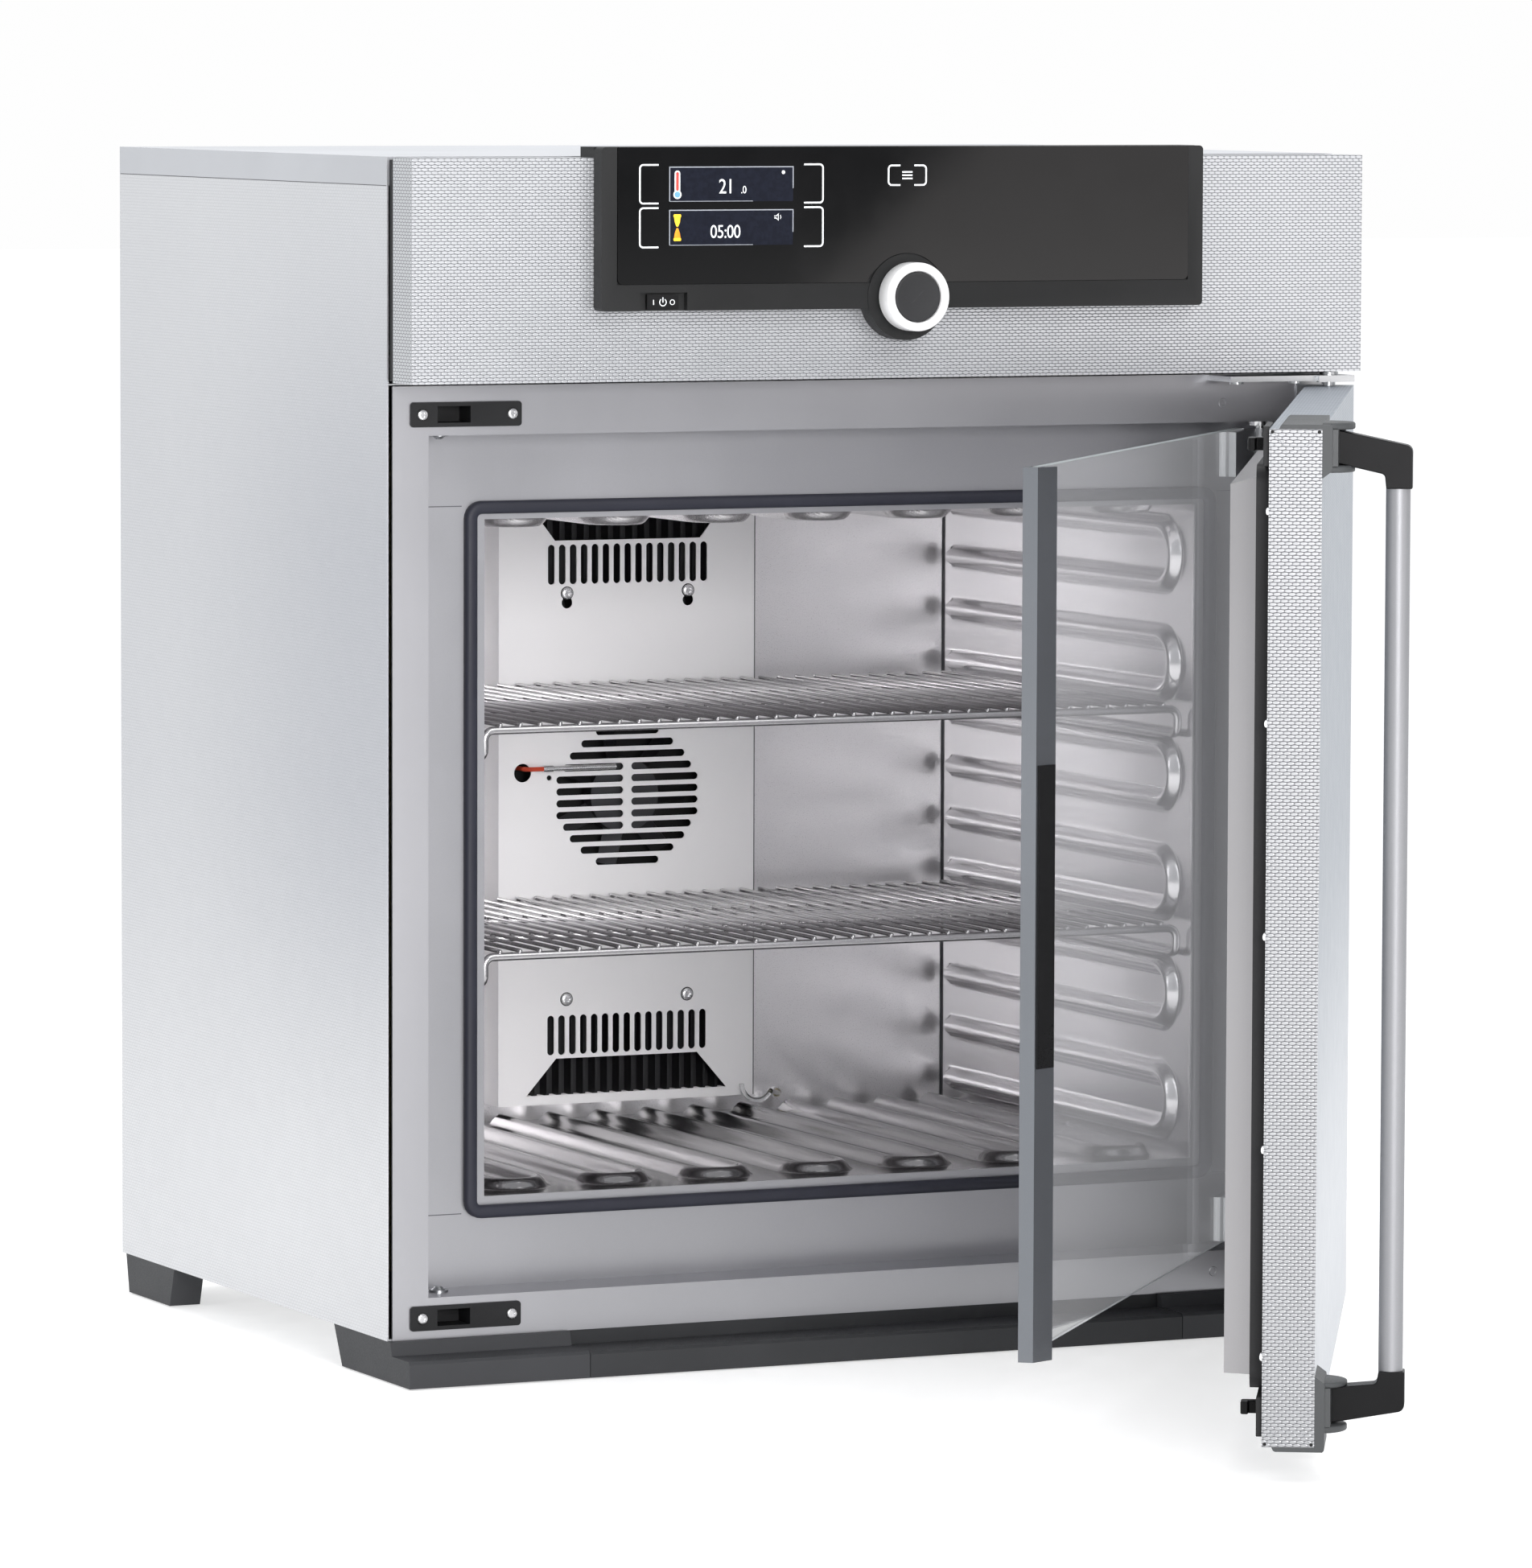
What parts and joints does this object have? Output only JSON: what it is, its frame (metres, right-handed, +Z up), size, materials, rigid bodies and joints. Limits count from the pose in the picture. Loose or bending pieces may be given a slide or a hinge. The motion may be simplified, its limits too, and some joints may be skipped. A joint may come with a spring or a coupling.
{
  "type": "laboratory incubator",
  "caption": "Bench-top laboratory incubator: steel cabinet with a solid outer door, a glass inner door, wire shelves, a fan duct and a control panel with a turning knob.",
  "frame": {"origin": "floor level at the cabinet's middle plane, under the plane of the front frame; the underside of the plinth strip lies on it", "axes": "+X to the right seen from the front, +Y back into the cabinet, +Z up"},
  "size_m": [0.7524, 1.2139, 0.8635],
  "materials": {
    "casing": "satin, finely textured stainless sheet",
    "cover": "satin",
    "frame_steel": "bead-blasted stainless",
    "chamber_steel": "bright rolled stainless",
    "door_steel": "dimpled stainless",
    "rubber": "matt",
    "black_plastic": "fine matt grain",
    "grey_plastic": "fine matt grain",
    "plinth_plastic": "fine matt grain",
    "aluminium": "anodised",
    "dark_metal": "black anodised",
    "hinge_steel": "satin",
    "glass": "clear",
    "panel_glass": "gloss black",
    "insulation": "mineral wool",
    "heater": "film",
    "ceramic": "matt",
    "board": "satin",
    "cable_red": "satin",
    "clear_hose": "clear, satin",
    "wire_steel": "electropolished"
  },
  "bodies": {
    "cabinet": {"left_side_panel": "casing", "right_side_panel": "casing", "top_cover": "cover", "rear_panel": "casing", "rear_hood": "casing", "base_plate": "casing", "front_frame": "frame_steel", "recess_panel": "frame_steel", "latch_strike_upper": "black_plastic", "latch_strike_lower": "black_plastic", "panel_screws": "wire_steel", "glass_door_catches": "grey_plastic", "chamber_left_wall": "chamber_steel", "chamber_right_wall": "chamber_steel", "chamber_floor": "chamber_steel", "chamber_ceiling": "chamber_steel", "chamber_rear_wall": "chamber_steel", "chamber_gasket": "rubber", "insulation_jacket": "insulation", "heating_panels": "heater", "rear_cover_plate": "chamber_steel", "inner_heat_sinks": "dark_metal", "peltier_modules": "ceramic", "outer_heat_sink": "aluminium", "fan_motor": "dark_metal", "temperature_probe": "wire_steel", "probe_cable": "cable_red", "drain_line": "clear_hose", "electronics_deck": "casing", "control_electronics": "board", "mains_inlet": "black_plastic", "control_fascia": "casing", "fascia_seal": "rubber", "panel_bezel": "grey_plastic", "display_glass": "panel_glass", "front_feet": "black_plastic", "rear_feet": "black_plastic", "plinth_strip": "plinth_plastic", "door_hinge_upper": "hinge_steel", "door_hinge_lower": "hinge_steel", "glass_hinge_pins": "hinge_steel"},
    "outer_door": {"door_outer_skin": "door_steel", "door_inner_panel": "frame_steel", "door_insulation": "insulation", "door_gasket": "rubber", "handle_corner_upper": "grey_plastic", "handle_corner_lower": "grey_plastic"},
    "handle": {"handle_arm_upper": "black_plastic", "handle_arm_lower": "black_plastic", "handle_tube": "aluminium"},
    "glass_door": {"glass_pane": "glass", "glass_edge_profile": "aluminium", "grip_insert": "black_plastic", "glass_hinge_clamps": "aluminium"},
    "upper_shelf": {"shelf_upper": "wire_steel"},
    "lower_shelf": {"shelf_lower": "wire_steel"},
    "fan": {"fan_impeller": "grey_plastic"},
    "knob": {"knob_ring": "aluminium"},
    "confirm": {"confirm_button": "grey_plastic"},
    "mains_button": {"main_switch": "black_plastic"}
  },
  "joints": [
    {"name": "outer_door_hinge", "type": "hinge", "parent": "cabinet", "child": "outer_door", "pos_m": [0.356, -0.026, 0.3565], "axis": [0, 0, 1], "range_deg": [-59.7, 50.3]},
    {"name": "glass_door_hinge", "type": "hinge", "parent": "cabinet", "child": "glass_door", "pos_m": [0.328, 0.025, 0.3595], "axis": [0, 0, 1], "range_deg": [-49.5, 41.71]},
    {"name": "handle_swivel", "type": "hinge", "parent": "outer_door", "child": "handle", "pos_m": [0.01787, -0.64032, 0.3565], "axis": [0, 0, 1], "range_deg": [0, 12]},
    {"name": "upper_shelf_slide", "type": "slide", "parent": "cabinet", "child": "upper_shelf", "axis": [0, -1, 0], "range_m": [0, 0.06]},
    {"name": "lower_shelf_slide", "type": "slide", "parent": "cabinet", "child": "lower_shelf", "axis": [0, -1, 0], "range_m": [0, 0.06]},
    {"name": "fan_spin", "type": "hinge", "parent": "cabinet", "child": "fan", "pos_m": [0, 0.43, 0.3675], "axis": [0, 1, 0], "continuous": true},
    {"name": "knob_turn", "type": "hinge", "parent": "cabinet", "child": "knob", "pos_m": [0, -0.07, 0.758], "axis": [0, 1, 0], "continuous": true},
    {"name": "confirm_press", "type": "slide", "parent": "cabinet", "child": "confirm", "axis": [0, 1, 0], "range_m": [0, 0.0012], "stiffness_N_per_m": 600, "springref_m": -0.001},
    {"name": "mains_press", "type": "slide", "parent": "cabinet", "child": "mains_button", "axis": [0, 1, 0], "range_m": [0, 0.0014], "stiffness_N_per_m": 600, "springref_m": -0.001}
  ],
  "couplings": [
    {"joint": "glass_door_hinge", "follows": "outer_door_hinge", "ratio": 0.82915}
  ]
}
